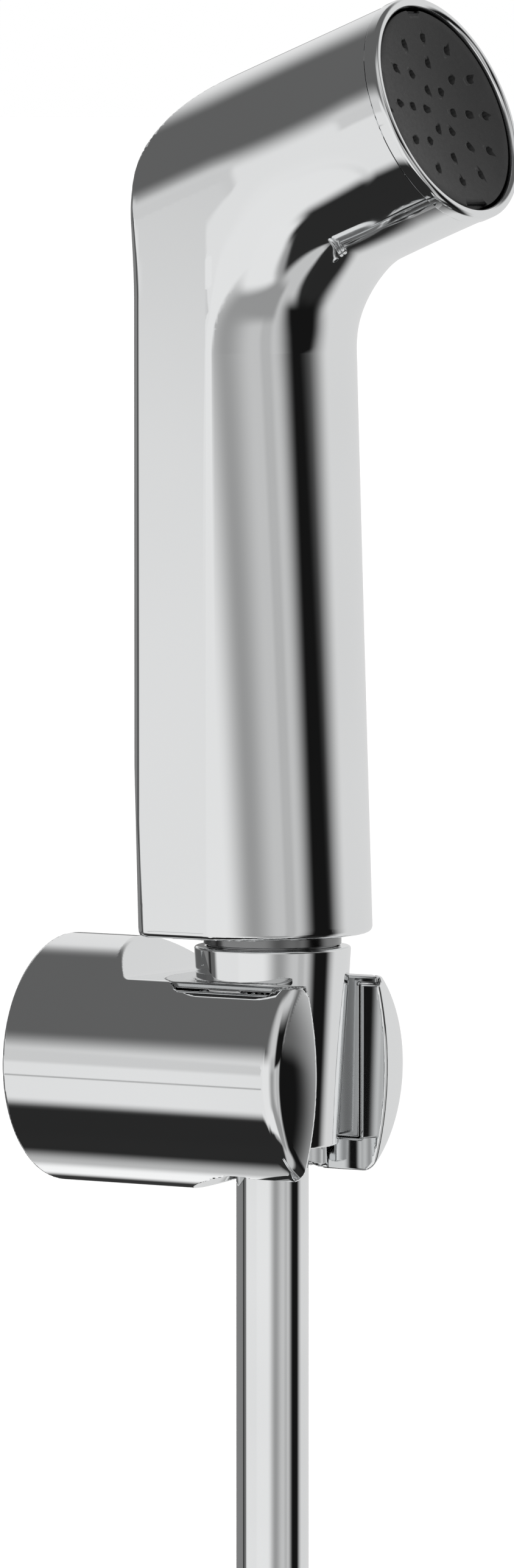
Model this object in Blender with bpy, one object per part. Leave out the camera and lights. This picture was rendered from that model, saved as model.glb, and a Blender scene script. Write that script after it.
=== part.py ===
"""Hand shower for a bidet or toilet, resting in its wall holder by the conical
nut of its hose.

Frame: +Z up, the wall is the plane y = 0 and the shower faces -Y. The origin is
the centre of the holder's round back. Dimensions are in millimetres and are
turned into metres as each mesh is made.
"""

import math

import bmesh
import bpy
import numpy as np
from mathutils import Matrix, Vector

MM = 0.001

# ---- wall holder --------------------------------------------------------
HOLDER_R = 20.0            # turned body, its axis along Y
HOLDER_EDGE = 1.8          # rounding of the front edge
DOME_R = 58.0              # shallow dome of the front
DOME_POLE = 54.75          # where the dome would meet the axis
SEAT_Y = -38.7             # vertical axis of the conical seat and of the hose
SLOT_HALF = 10.3           # half width of the slot that the hose passes
RELIEF_Z = 14.4            # flat on top of the holder
RELIEF_Y = -19.15          # foot of the relief's sloping rear wall
RELIEF_SLOPE = 0.97
FLANGE_POCKET_R = 17.2
FLANGE_POCKET_Z = 13.1
BARREL_POCKET_R = 14.5
LEDGE_Z = -11.7
LIP_BORE_R = 10.9
BACK_POCKET_R = 17.2
BACK_POCKET_D = 12.0
GRUB_Y = -7.0

# ---- conical nut --------------------------------------------------------
CONE_TOP_Z, CONE_BOT_Z = 19.6, -12.2
CONE_BOT_R = 10.55
CONE_RATE = 0.0627         # growth of the nut's radius per millimetre

# ---- handset ------------------------------------------------------------
HALF_W = 19.7              # half width between the flat sides
BACK_Y = -23.96            # flat back
BACK_CORNER = 2.5
BOTTOM_Z = 21.6
CREASE_F = 0.5             # where side and curved front meet, ahead of the seat axis
FRONT_F, FRONT_RATE, FRONT_Z0 = 15.1, 0.0375, 23.0
TILT = math.radians(21.34)   # the head's axis above the horizontal
FACE_F, FACE_Z = 31.05, 152.56   # middle of the spray face
TUBE_R = 18.5
SHOULDER_R = 17.9
SHELL_END = -0.6           # end of the shell along the head's axis
BEND_R = 15.0              # concave bend under the head
BEND_FROM, BEND_TO = 0.12, 0.75    # where along the bend the section changes
NECK_HALF_W, NECK_POWER, NECK_RUN = 19.7, 2.5, 34.0

# ---- hose ---------------------------------------------------------------
HOSE_R = 5.8
HOSE_TOP_Z = 3.7
COIL_R = 69.6
LEAD_R = 49.0
COIL_X = 2 * LEAD_R - COIL_R
COIL_Z = -162.0
TURN_PITCH = 11.9
COIL_END_DEG = 690.0
COIL_END_Y = -92.0
END_STRAIGHT = 22.0         # straight stretch into the lower ferrule

AX = Vector((0.0, -math.cos(TILT), math.sin(TILT)))      # the head's axis, outwards
UP = Vector((0.0, math.sin(TILT), math.cos(TILT)))       # across it, upwards
FACE = Vector((0.0, SEAT_Y - FACE_F, FACE_Z))


# ---- scene helpers ------------------------------------------------------
def clear():
    for obj in list(bpy.data.objects):
        bpy.data.objects.remove(obj, do_unlink=True)


def material(name, colour, rough, metal):
    mat = bpy.data.materials.new(name)
    mat.use_nodes = True
    shader = mat.node_tree.nodes["Principled BSDF"]
    shader.inputs["Base Color"].default_value = (*colour, 1.0)
    shader.inputs["Roughness"].default_value = rough
    shader.inputs["Metallic"].default_value = metal
    mat.diffuse_color = (*colour, 1.0)
    return mat


def empty(name, at):
    obj = bpy.data.objects.new(name, None)
    obj.location = Vector(at) * MM
    bpy.context.scene.collection.objects.link(obj)
    return obj


def add(name, verts, faces, mat, at=(0, 0, 0), cutter=False, parent=None, sharp=35):
    """An object from points in millimetres, with its origin at `at`."""
    origin = Vector(at)
    mesh = bpy.data.meshes.new(name)
    mesh.from_pydata([((Vector(v) - origin) * MM)[:] for v in verts], [], faces)
    mesh.validate()
    bm = bmesh.new()
    bm.from_mesh(mesh)
    bmesh.ops.recalc_face_normals(bm, faces=bm.faces)
    bm.to_mesh(mesh)
    bm.free()
    mesh.shade_smooth()
    mesh.set_sharp_from_angle(angle=math.radians(sharp))
    obj = bpy.data.objects.new(name, mesh)
    bpy.context.scene.collection.objects.link(obj)
    if cutter:
        obj.hide_render = True
        obj.display_type = "WIRE"
    else:
        mesh.materials.append(mat)
    if parent:
        obj.parent = parent
        obj.location = origin * MM - parent.location
    else:
        obj.location = origin * MM
    return obj


def cut(obj, cutter, operation="DIFFERENCE"):
    mod = obj.modifiers.new(cutter.name, "BOOLEAN")
    mod.operation = operation
    mod.solver = "EXACT"
    mod.object = cutter


# ---- shapes -------------------------------------------------------------
def axes_for(axis):
    """Two unit vectors across `axis`."""
    a = Vector(axis).normalized()
    side = Vector((1, 0, 0)) if abs(a.x) < 0.9 else Vector((0, 0, 1))
    u = side.cross(a).normalized()
    return u, a.cross(u).normalized(), a


def turned(profile, origin, axis, n=48):
    """Points and faces of a closed profile [(radius, along axis), ...] turned
    round `axis`. A point with radius 0 becomes a pole."""
    u, v, a = axes_for(axis)
    o = Vector(origin)
    verts, ring = [], []
    for r, s in profile:
        if r < 1e-9:
            ring.append([len(verts)] * n)
            verts.append(o + a * s)
            continue
        ring.append(list(range(len(verts), len(verts) + n)))
        for k in range(n):
            t = 2 * math.pi * k / n
            verts.append(o + a * s + u * (r * math.cos(t)) + v * (r * math.sin(t)))
    faces = []
    for i in range(len(profile)):
        p, q = ring[i], ring[(i + 1) % len(profile)]
        if profile[i][0] < 1e-9 and profile[(i + 1) % len(profile)][0] < 1e-9:
            continue
        for k in range(n):
            m = (k + 1) % n
            face = []
            for idx in (p[k], p[m], q[m], q[k]):
                if idx not in face:
                    face.append(idx)
            faces.append(face)
    return verts, faces


def disc(r, s0, s1):
    return [(0, s0), (r, s0), (r, s1), (0, s1)]


def tube(r_in, r_out, s0, s1):
    return [(r_in, s0), (r_out, s0), (r_out, s1), (r_in, s1)]


def arc(cx, cy, r, a0, a1, n):
    """Points (x, y) of an arc, angles in degrees."""
    return [
        (
            cx + r * math.cos(math.radians(a0 + (a1 - a0) * k / n)),
            cy + r * math.sin(math.radians(a0 + (a1 - a0) * k / n)),
        )
        for k in range(n + 1)
    ]


def prism(outline, x0, x1):
    """An outline [(y, z), ...] extruded along X."""
    n = len(outline)
    verts = [(x0, y, z) for y, z in outline] + [(x1, y, z) for y, z in outline]
    faces = [list(range(n))[::-1], list(range(n, 2 * n))]
    faces += [[k, (k + 1) % n, n + (k + 1) % n, n + k] for k in range(n)]
    return verts, faces


def box(x0, x1, y0, y1, z0, z1):
    return prism([(y0, z0), (y1, z0), (y1, z1), (y0, z1)], x0, x1)


def swept(points, r_out, r_in, n=20):
    """A bent tube of constant section along `points`, with flat ends."""
    pts = [Vector(p) for p in points]
    tangents = []
    for i in range(len(pts)):
        a, b = pts[max(0, i - 1)], pts[min(len(pts) - 1, i + 1)]
        tangents.append((b - a).normalized())
    verts, faces = [], []
    count = len(pts)
    for p, t in zip(pts, tangents):
        u = Vector((1, 0, 0))
        v = t.cross(u).normalized()
        for r in (r_out, r_in):
            for k in range(n):
                w = 2 * math.pi * k / n
                verts.append(p + u * (r * math.cos(w)) + v * (r * math.sin(w)))
    for i in range(count - 1):
        for k in range(n):
            m = (k + 1) % n
            a, b = i * 2 * n, (i + 1) * 2 * n
            faces.append([a + k, a + m, b + m, b + k])
            faces.append([a + n + m, a + n + k, b + n + k, b + n + m])
    for base, flip in ((0, True), ((count - 1) * 2 * n, False)):
        for k in range(n):
            m = (k + 1) % n
            face = [base + k, base + m, base + n + m, base + n + k]
            faces.append(face[::-1] if flip else face)
    return verts, faces


def spline(points, step):
    """Points about `step` apart on a natural cubic curve through `points`."""
    p = np.array(points, float)
    t = np.concatenate([[0], np.cumsum(np.linalg.norm(np.diff(p, axis=0), axis=1))])
    n = len(p)
    h = np.diff(t)
    m = np.zeros((n, n))
    rhs = np.zeros((n, 3))
    m[0, 0] = m[-1, -1] = 1
    for i in range(1, n - 1):
        m[i, i - 1], m[i, i], m[i, i + 1] = h[i - 1], 2 * (h[i - 1] + h[i]), h[i]
        rhs[i] = 6 * ((p[i + 1] - p[i]) / h[i] - (p[i] - p[i - 1]) / h[i - 1])
    c = np.linalg.solve(m, rhs)
    out = []
    for s in np.linspace(0, t[-1], int(round(t[-1] / step)) + 1):
        i = min(int(np.searchsorted(t, s, side="right")) - 1, n - 2)
        a, b = (t[i + 1] - s) / h[i], (s - t[i]) / h[i]
        out.append(
            a * p[i] + b * p[i + 1]
            + ((a**3 - a) * c[i] + (b**3 - b) * c[i + 1]) * h[i] ** 2 / 6
        )
    return [tuple(q) for q in out]


# ---- the handset's outer form -------------------------------------------
def rounded_max(a, b, r):
    """Larger of two distances, with a fillet of radius r on their edge."""
    return (
        np.minimum(np.maximum(a, b), -r)
        + np.hypot(np.maximum(a + r, 0), np.maximum(b + r, 0))
    )


def smooth_step(t):
    t = np.clip(t, 0, 1)
    return t * t * (3 - 2 * t)


def oval_round(x, v, power, scale):
    """Distance from an oval of half height TUBE_R and half width TUBE_R / scale."""
    u, v = np.abs(x) * scale + 1e-6, np.abs(v) + 1e-6
    q = (u**power + v**power) ** (1 / power)
    slope = np.hypot(scale * (u / q) ** (power - 1), (v / q) ** (power - 1))
    return (q - TUBE_R) / np.maximum(slope, 1e-6)


def handset_field(x, y, z):
    """Distance-like value, negative inside the handset's outer form."""
    f = SEAT_Y - y
    ax = np.abs(x)
    ct, st = math.cos(TILT), math.sin(TILT)
    along = (f - FACE_F) * ct + (z - FACE_Z) * st
    above = -(f - FACE_F) * st + (z - FACE_Z) * ct
    # handle: flat sides, arched front
    rise = FRONT_F - FRONT_RATE * (z - FRONT_Z0) - CREASE_F
    radius = (HALF_W**2 + rise**2) / (2 * rise)
    front = np.hypot(x, f - (rise + CREASE_F - radius)) - radius
    side = ax - HALF_W
    handle = rounded_max(side, front, 0.35)
    handle = np.maximum(handle, above)
    # head: a round tube, a little wider and fuller below where it grows out of the handle
    near = smooth_step((-5 - along) / 26)
    scale = TUBE_R / (TUBE_R + 0.15 + (NECK_HALF_W - TUBE_R - 0.15) * near)
    full = (NECK_POWER - 2) * smooth_step((-5 - along) / NECK_RUN)
    head = oval_round(x, above, 2 + full * smooth_step(-above / 8), scale)
    # bend under the head: the handle's section, turned about a line ahead of it,
    # becomes the head's
    taper = math.hypot(1, FRONT_RATE)
    out_h = np.array([1 / taper, FRONT_RATE / taper])
    out_u = np.array([st, -ct])
    reach_h = (FRONT_F + FRONT_RATE * FRONT_Z0) / taper + BEND_R
    reach_u = TUBE_R + st * FACE_F - ct * FACE_Z + BEND_R
    bf, bz = np.linalg.solve(np.array([out_h, out_u]), np.array([reach_h, reach_u]))
    whole = math.acos(float(out_h @ out_u))
    over_h = (out_h * math.cos(whole) - out_u) / math.sin(whole)
    vf, vz = f - bf, z - bz
    depth = np.hypot(vf, vz) - BEND_R
    turn = np.arctan2(
        vf * over_h[0] + vz * over_h[1], -(vf * out_h[0] + vz * out_h[1])
    ) / whole
    share = smooth_step((turn - BEND_FROM) / (BEND_TO - BEND_FROM))
    arch = np.hypot(x, np.maximum(radius - depth, 0)) - radius
    arch = rounded_max(side, arch, 0.35 + 2.5 * share)
    low = np.minimum(depth, TUBE_R)
    oval = oval_round(x, TUBE_R - low, 2 + full * smooth_step((TUBE_R - low) / 8), scale)
    bend = np.maximum((1 - share) * arch + share * oval, np.maximum(above, depth - 27))
    bend = np.where((turn >= 0) & (turn <= 1), bend, 99.0)
    body = np.minimum(np.minimum(handle, head), bend)
    # flat back rolling over into the top
    steep = TILT + math.radians(1.0)
    cf = SEAT_Y - BACK_Y + SHOULDER_R
    top = np.array([-math.sin(steep), math.cos(steep)])
    # the top line grazes the tube's crest over the middle of the head
    reach = 14.0
    crest_z = FACE_Z + (reach - FACE_F) * math.tan(TILT) + TUBE_R / ct
    level = top[0] * reach + top[1] * crest_z - SHOULDER_R
    cz = (level - top[0] * cf) / top[1]
    wf, wz = f - cf, z - cz
    in_arc = (wz > 0) & (wf * math.cos(steep) + wz * math.sin(steep) < 0)
    flat = np.maximum(-wf, wf * top[0] + wz * top[1])
    profile = np.where(in_arc, np.hypot(wf, wz), flat) - SHOULDER_R
    corner = BACK_CORNER * (1 - smooth_step((z - 122) / 26)) + 0.35
    body = (
        np.minimum(np.maximum(body, profile), -corner)
        + np.hypot(np.maximum(body + corner, 0), np.maximum(profile + corner, 0))
    )
    body = rounded_max(body, BOTTOM_Z - z, 1.0)
    return np.maximum(body, along - SHELL_END)


def surface_net(field, low, high, step):
    """A closed mesh of the zero surface of `field`."""
    low, high = np.array(low, float), np.array(high, float)
    size = np.ceil((high - low) / step).astype(int) + 1
    grids = [low[i] + step * np.arange(size[i]) for i in range(3)]
    gx, gy, gz = np.meshgrid(*grids, indexing="ij")
    val = field(gx, gy, gz)
    inside = val < 0
    total = np.zeros((*(size - 1), 3))
    count = np.zeros(size - 1)
    crossings = []
    for d in range(3):
        lo = [slice(None)] * 3
        hi = [slice(None)] * 3
        lo[d], hi[d] = slice(0, -1), slice(1, None)
        a, b = val[tuple(lo)], val[tuple(hi)]
        hit = inside[tuple(lo)] != inside[tuple(hi)]
        idx = np.argwhere(hit)
        va, vb = a[hit], b[hit]
        t = va / (va - vb)
        pos = idx.astype(float)
        pos[:, d] += t
        crossings.append((d, idx, va < 0))
        e, g = [k for k in range(3) if k != d]
        for i in (0, 1):
            for j in (0, 1):
                cell = idx.copy()
                cell[:, e] -= i
                cell[:, g] -= j
                np.add.at(total, tuple(cell.T), pos)
                np.add.at(count, tuple(cell.T), 1)
    used = count > 0
    ids = -np.ones(count.shape, int)
    ids[used] = np.arange(used.sum())
    verts = total[used] / count[used][:, None] * step + low
    quads = []
    for d, idx, out in crossings:
        e, g = (d + 1) % 3, (d + 2) % 3
        ring = []
        for i, j in ((1, 1), (0, 1), (0, 0), (1, 0)):
            cell = idx.copy()
            cell[:, e] -= i
            cell[:, g] -= j
            ring.append(ids[tuple(cell.T)])
        quad = np.stack(ring, axis=1)
        quad[~out] = quad[~out][:, ::-1]
        quads.append(quad)
    quads = np.concatenate(quads)
    # pull the points onto the surface
    for _ in range(4):
        v = field(*verts.T)
        grad = np.stack(
            [
                (field(*(verts + e).T) - field(*(verts - e).T)) / 0.02
                for e in np.eye(3) * 0.01
            ],
            axis=1,
        )
        move = v[:, None] * grad / np.maximum((grad**2).sum(1), 0.05)[:, None]
        verts = verts - np.clip(move, -0.4 * step, 0.4 * step)
    return verts, quads


# ---- the hose's route ---------------------------------------------------
def coil_y(deg):
    y = -50.9 - TURN_PITCH * (deg - 60.0) / 360.0
    enter = smooth_step((deg + 60.0) / 120.0)
    y = (SEAT_Y - 0.2) * (1 - enter) + y * enter
    leave = smooth_step((deg - COIL_END_DEG + 85.0) / 85.0)
    return float(y * (1 - leave) + COIL_END_Y * leave)


def hose_route():
    """The route's own points: straight down from the nut, round inside the coil
    and then round the coil's turns. It also returns how many belong to the lead."""
    pts = [(0.0, SEAT_Y, z) for z in (HOSE_TOP_Z, -25.0, -55.0, -85.0, -115.0, -140.0)]
    for deg in (180, 205, 230, 255, 280, 305, 330):
        a = math.radians(deg)
        y = coil_y(deg - 360.0) if deg > 300 else SEAT_Y - 0.2 * (deg - 180) / 120
        pts.append((LEAD_R + LEAD_R * math.cos(a), y, COIL_Z + LEAD_R * math.sin(a)))
    lead = len(pts)
    turns = np.append(np.arange(0.0, COIL_END_DEG - 15.0, 25.0), COIL_END_DEG)
    for deg in turns:
        a = math.radians(deg)
        pts.append((COIL_X + COIL_R * math.cos(a), coil_y(deg), COIL_Z + COIL_R * math.sin(a)))
    last, out = np.array(pts[-1]), np.array([-math.sin(a), 0.0, math.cos(a)])
    for part in (1 / 3, 2 / 3, 1.0):
        pts.append(tuple(last + out * END_STRAIGHT * part))
    return pts, lead


clear()

chrome = material("chrome", (0.78, 0.79, 0.80), 0.08, 1.0)
chrome_cast = material("chrome_cast", (0.74, 0.75, 0.76), 0.14, 1.0)
black = material("black_plastic", (0.012, 0.012, 0.013), 0.35, 0.0)
grey = material("grey_plastic", (0.35, 0.36, 0.37), 0.5, 0.0)
brass = material("brass", (0.70, 0.52, 0.26), 0.3, 1.0)
rubber = material("rubber", (0.02, 0.02, 0.02), 0.8, 0.0)
steel = material("steel", (0.62, 0.63, 0.64), 0.22, 1.0)
tie_black = material("tie_plastic", (0.03, 0.03, 0.03), 0.55, 0.0)

seat = Vector((0, SEAT_Y, 0))
Z = (0, 0, 1)
Y = (0, 1, 0)
FRONT = (0, -1, 0)

# ---- holder body --------------------------------------------------------
def front_profile(shrink=0.0, back=0.0):
    """(radius, depth) from the wall to the dome's pole, with a rounded edge."""
    r, pole = HOLDER_R - shrink, DOME_POLE - shrink
    dome, edge = DOME_R - shrink, HOLDER_EDGE
    # centre of the edge's rounding, tangent to the side and to the dome
    er = r - edge
    es = pole - dome + math.sqrt((dome - edge) ** 2 - er**2)
    end = math.degrees(math.atan2(es - (pole - dome), er))
    pts = [(r, back)]
    pts += arc(er, es, edge, 0, end, 4)
    start = 90 - end
    pts += [
        (dome * math.sin(math.radians(t)), pole - dome + dome * math.cos(math.radians(t)))
        for t in np.linspace(start, 0, 6)[1:-1]
    ]
    return pts + [(0, pole)]


profile = front_profile() + [(0, BACK_POCKET_D), (BACK_POCKET_R, BACK_POCKET_D), (BACK_POCKET_R, 0)]
body = add("holder_body", *turned(profile, (0, 0, 0), FRONT, 72), chrome)
wall_z = 30.0
relief = add(
    "relief_cutter",
    *prism(
        [
            (RELIEF_Y, RELIEF_Z),
            (RELIEF_Y + RELIEF_SLOPE * (wall_z - RELIEF_Z), wall_z),
            (-80, wall_z),
            (-80, RELIEF_Z),
        ],
        -30,
        30,
    ),
    None,
    cutter=True,
)
cut(body, relief)
pocket = add(
    "seat_cutter",
    *turned(
        [
            (0, -24),
            (LIP_BORE_R + 6.2, -24),
            (LIP_BORE_R, -17.8),
            (LIP_BORE_R, LEDGE_Z),
            (BARREL_POCKET_R, LEDGE_Z),
            (BARREL_POCKET_R, FLANGE_POCKET_Z),
            (FLANGE_POCKET_R, FLANGE_POCKET_Z),
            (FLANGE_POCKET_R, 34),
            (0, 34),
        ],
        seat,
        Z,
        64,
    ),
    None,
    cutter=True,
)
cut(body, pocket)
slot = add("slot_cutter", *box(-SLOT_HALF, SLOT_HALF, -80, SEAT_Y, -40, 40), None, cutter=True)
cut(body, slot)
grub_hole = add("grub_cutter", *turned(disc(2.3, -30, -10), (0, GRUB_Y, 0), Z, 24), None, cutter=True)
cut(body, grub_hole)

# ---- liner: flanged conical seat ----------------------------------------
def cone_r(z):
    return CONE_BOT_R + (z - CONE_BOT_Z) * CONE_RATE


liner_top, liner_bot, flange_under = RELIEF_Z, LEDGE_Z + 0.3, FLANGE_POCKET_Z + 0.65
liner = add(
    "holder_liner",
    *turned(
        [
            (cone_r(liner_bot) + 0.3, liner_bot),
            (BARREL_POCKET_R - 0.3, liner_bot),
            (BARREL_POCKET_R - 0.3, flange_under),
            (FLANGE_POCKET_R - 0.3, flange_under),
            (FLANGE_POCKET_R - 0.3, liner_top),
            (cone_r(liner_top) + 0.3, liner_top),
        ],
        seat,
        Z,
        64,
    ),
    chrome_cast,
    at=seat,
)
liner_slot = add("liner_slot_cutter", *box(-SLOT_HALF, SLOT_HALF, -80, SEAT_Y, -40, 40), None, cutter=True)
cut(liner, liner_slot)
envelope = add(
    "liner_envelope", *turned(front_profile(0.2, 5.0) + [(0, 5.0)], (0, 0, 0), FRONT, 72), None, cutter=True
)
cut(liner, envelope, "INTERSECT")

# ---- wall bracket and grub screw ----------------------------------------
bracket = add(
    "wall_bracket",
    *turned(
        [(0, 0), (16.8, 0), (16.8, 3.5), (8.0, 3.5), (8.0, 5.2), (7.0, 5.9), (7.0, 8.1), (8.0, 8.8), (8.0, 10.6), (0, 10.6)],
        (0, 0, 0),
        FRONT,
        32,
    ),
    brass,
)
for side, name in ((-12.3, "left"), (12.3, "right")):
    hole = add(
        f"screw_hole_{name}",
        *turned([(0, -1), (2.2, -1), (2.2, 1.6), (4.1, 3.5), (4.1, 5), (0, 5)], (side, 0, 0), FRONT, 20),
        None,
        cutter=True,
    )
    cut(bracket, hole)
grub = add(
    "grub_screw",
    *turned([(0, -19.6), (1.9, -19.6), (1.9, -8.4), (1.1, -7.6), (0, -7.6)], (0, GRUB_Y, 0), Z, 20),
    steel,
    at=(0, GRUB_Y, -14),
)
socket = add("grub_socket", *turned(disc(1.0, -21, -17.4), (0, GRUB_Y, 0), Z, 6), None, cutter=True)
cut(grub, socket)

# ---- handset shell ------------------------------------------------------
verts, quads = surface_net(handset_field, (-21.3, -78.3, 20.1), (21.3, -22.3, 175.1), 1.25)
shell = add("handset_shell", verts.tolist(), quads.tolist(), chrome, sharp=40)
shrink = shell.modifiers.new("fewer_faces", "DECIMATE")
shrink.decimate_type = "COLLAPSE"
shrink.ratio = 0.07
CAVITY_BACK, CAVITY_FRONT, CAVITY_X, CAVITY_LOW = BACK_Y - 2.5, SEAT_Y - 4.5, 13.0, 30.0
handle_cavity = add(
    "handle_cavity",
    *box(-CAVITY_X, CAVITY_X, CAVITY_FRONT, CAVITY_BACK, CAVITY_LOW, 144.0),
    None,
    cutter=True,
)
cut(shell, handle_cavity)
head_cavity = add(
    "head_cavity",
    *turned([(0, -32.5), (15.4, -32.5), (15.4, -6.3), (17.6, -6.3), (17.6, 6), (0, 6)], FACE, AX, 56),
    None,
    cutter=True,
)
cut(shell, head_cavity)
inlet_bore = add("inlet_bore", *turned(disc(9.0, 15, 31), seat, Z, 40), None, cutter=True)
cut(shell, inlet_bore)
BUTTON_Z, BUTTON_R = 101.0, 7.6
button_axis = Vector((0, 0, BUTTON_Z))
button_hole = add(
    "button_hole", *turned(disc(BUTTON_R + 0.35, -30, -15), button_axis, Y, 48), None, cutter=True
)
cut(shell, button_hole)

# ---- spray head ---------------------------------------------------------
ring = add(
    "rim_ring",
    *turned(
        [(16.95, -5.6), (17.3, -5.6), (17.3, -0.3), (18.15, -0.3), (18.65, 0.1), (18.65, 1.0)]
        + arc(17.85, 1.15, 0.8, 0, 180, 4)[1:]
        + [(16.95, 0.9)],
        FACE,
        AX,
        56,
    ),
    chrome,
    at=FACE,
)
dish = [(16.65, -1.3)] + [(r, r * r / 230.0) for r in (16.65, 14.2, 10.0, 6.0)] + [(0, 0.0), (0, -1.3)]
face = add("spray_face", *turned(dish, FACE, AX, 56), black, at=FACE)
holes = []
U, V = Vector((1, 0, 0)), UP
for ring_r, number, phase in ((3.87, 6, -2.186), (7.94, 8, -2.451), (12.16, 12, -2.714)):
    for k in range(number):
        t = phase + 2 * math.pi * k / number
        holes.append(FACE + (U * math.cos(t) + V * math.sin(t)) * ring_r)
jet_verts, jet_faces = [], []
for at in holes:
    v, f = turned(disc(0.55, -4, 6), at, AX, 6)
    base = len(jet_verts)
    jet_verts += v
    jet_faces += [[i + base for i in poly] for poly in f]
jets = add("jet_cutter", jet_verts, jet_faces, None, cutter=True)
cut(face, jets)
gasket = add("face_gasket", *turned(tube(13.2, 14.9, -2.6, -1.6), FACE, AX, 32), rubber, at=FACE)
chamber = add(
    "spray_chamber",
    *turned(
        [(3.0, -18.0), (5.0, -18.0), (5.0, -12.5), (15.0, -12.5), (15.0, -2.9), (13.2, -2.9), (13.2, -10.7), (3.0, -10.7)],
        FACE,
        AX,
        32,
    ),
    grey,
    at=FACE,
)

# ---- inlet --------------------------------------------------------------
collar_z = CONE_TOP_Z + 0.3
connector = add(
    "inlet_connector",
    *turned(
        [
            (4.0, 8.5), (10.3, 8.5), (10.3, collar_z), (12.0, collar_z), (12.0, 21.3), (8.7, 21.3),
            (8.7, 25.4), (7.2, 25.4), (7.2, 28.0), (8.7, 28.0), (8.7, 29.7), (4.3, 29.7),
            (4.3, 36.0), (2.6, 36.0), (2.6, 30.0), (4.0, 28.0),
        ],
        seat,
        Z,
        28,
    ),
    brass,
    at=seat,
)
o_ring = add(
    "inlet_o_ring",
    *turned(arc(8.15, 26.7, 0.6, 0, 360, 6)[:-1], seat, Z, 24),
    rubber,
    at=seat,
)
lower_tube = add("lower_water_tube", *turned(tube(2.8, 4.0, 36.3, 90.6), seat, Z, 20), grey, at=seat)

# ---- valve --------------------------------------------------------------
VALVE_BACK, VALVE_FRONT, VALVE_LOW, VALVE_TOP = -31.2, -42.6, 90.9, 111.1
valve = add("valve_body", *box(-8.5, 8.5, VALVE_FRONT, VALVE_BACK, VALVE_LOW, VALVE_TOP), grey)
chambers = add(
    "valve_chambers",
    *turned(
        [(0, -45), (4.6, -45), (4.6, -36.0), (3.0, -36.0), (3.0, -33.0), (1.9, -33.0), (1.9, -28), (0, -28)],
        button_axis,
        Y,
        32,
    ),
    None,
    cutter=True,
)
cut(valve, chambers)
inlet_port = add("inlet_port", *turned(disc(2.2, 88, 99), (0, SEAT_Y, 0), Z, 20), None, cutter=True)
cut(valve, inlet_port)
outlet_port = add("outlet_port", *turned(disc(1.4, 102, 114), (0, -34.5, 0), Z, 20), None, cutter=True)
cut(valve, outlet_port)
cap = add("valve_cap", *turned([(0, -42.6), (4.3, -42.6), (4.3, -41.4), (0, -41.4)], button_axis, Y, 32), grey, at=(0, -42, BUTTON_Z))

upper_path = spline(
    [(0, -34.5, 111.4), (0, -34.5, 118), (0, -35.2, 126), (0, -38.6, 134.2), (0, -43.8, 140.6)]
    + [tuple(FACE + AX * -23.0), tuple(FACE + AX * -18.8)],
    3.4,
)
upper_tube = add("upper_water_tube", *swept(upper_path, 3.2, 2.1, 12), grey)

# ---- thumb button -------------------------------------------------------
TRAVEL = 2.5
button_frame = empty("button_axis", (0, BACK_Y, BUTTON_Z))
button = add(
    "push_button",
    *turned(
        [
            (4.8, -28.0), (8.6, -28.0), (8.6, -26.9), (BUTTON_R, -26.9), (BUTTON_R, -18.4),
        ]
        + arc(BUTTON_R - 1.1, -18.4, 1.1, 0, 80, 3)[1:]
        + [(4.4, -17.0), (2.2, -16.85), (0, -16.8), (0, -19.0), (4.8, -19.0)],
        button_axis,
        Y,
        36,
    ),
    chrome,
    at=(0, BACK_Y, BUTTON_Z),
    parent=button_frame,
)
stem = add(
    "button_stem",
    *turned([(0, -36.2), (1.5, -36.2), (1.5, -20.0), (2.6, -20.0), (2.6, -19.3), (0, -19.3)], button_axis, Y, 20),
    steel,
    at=(0, BACK_Y, BUTTON_Z),
    parent=button_frame,
)
poppet = add(
    "valve_poppet",
    *turned([(0, -38.4), (3.4, -38.4), (3.9, -37.9), (3.9, -36.5), (0, -36.5)], button_axis, Y, 28),
    rubber,
    at=(0, BACK_Y, BUTTON_Z),
    parent=button_frame,
)
SPRING_TURNS, SPRING_R, WIRE = 5, 3.7, 0.35
spring_curve = bpy.data.curves.new("return_spring", "CURVE")
spring_curve.dimensions = "3D"
spring_curve.bevel_depth = WIRE * MM
spring_curve.bevel_resolution = 0
spring_curve.use_fill_caps = True
coil = spring_curve.splines.new("POLY")
STEPS = SPRING_TURNS * 10
coil.points.add(STEPS)
SPRING_TOP, SPRING_LOW = -19.75, -30.75
for k in range(STEPS + 1):
    a = 2 * math.pi * k / 10
    y = SPRING_TOP + (SPRING_LOW - SPRING_TOP) * k / STEPS
    coil.points[k].co = (
        SPRING_R * math.cos(a) * MM, (y - SPRING_LOW) * MM, SPRING_R * math.sin(a) * MM, 1,
    )
spring = bpy.data.objects.new("return_spring", spring_curve)
spring.location = Vector((0, SPRING_LOW, BUTTON_Z)) * MM
spring_curve.materials.append(steel)
bpy.context.scene.collection.objects.link(spring)

# ---- hose nut and upper end ---------------------------------------------
nut = add(
    "conical_nut",
    *turned(
        [
            (7.8, CONE_BOT_Z), (CONE_BOT_R - 0.35, CONE_BOT_Z), (CONE_BOT_R, CONE_BOT_Z + 0.35),
            (cone_r(CONE_TOP_Z - 0.35), CONE_TOP_Z - 0.35), (cone_r(CONE_TOP_Z) - 0.35, CONE_TOP_Z),
            (10.65, CONE_TOP_Z), (10.65, 4.1), (7.8, 4.1),
        ],
        seat,
        Z,
        56,
    ),
    chrome,
    at=seat,
)
washer = add("inlet_washer", *turned(tube(4.6, 10.1, 6.6, 8.2), seat, Z, 24), rubber, at=seat)
ferrule = add(
    "hose_upper_ferrule",
    *turned([(6.1, -11.9), (7.5, -11.9), (7.5, 4.4), (9.9, 4.4), (9.9, 6.3), (3.6, 6.3), (3.6, 4.0), (6.1, 4.0)], seat, Z, 24),
    brass,
    at=seat,
)

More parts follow.
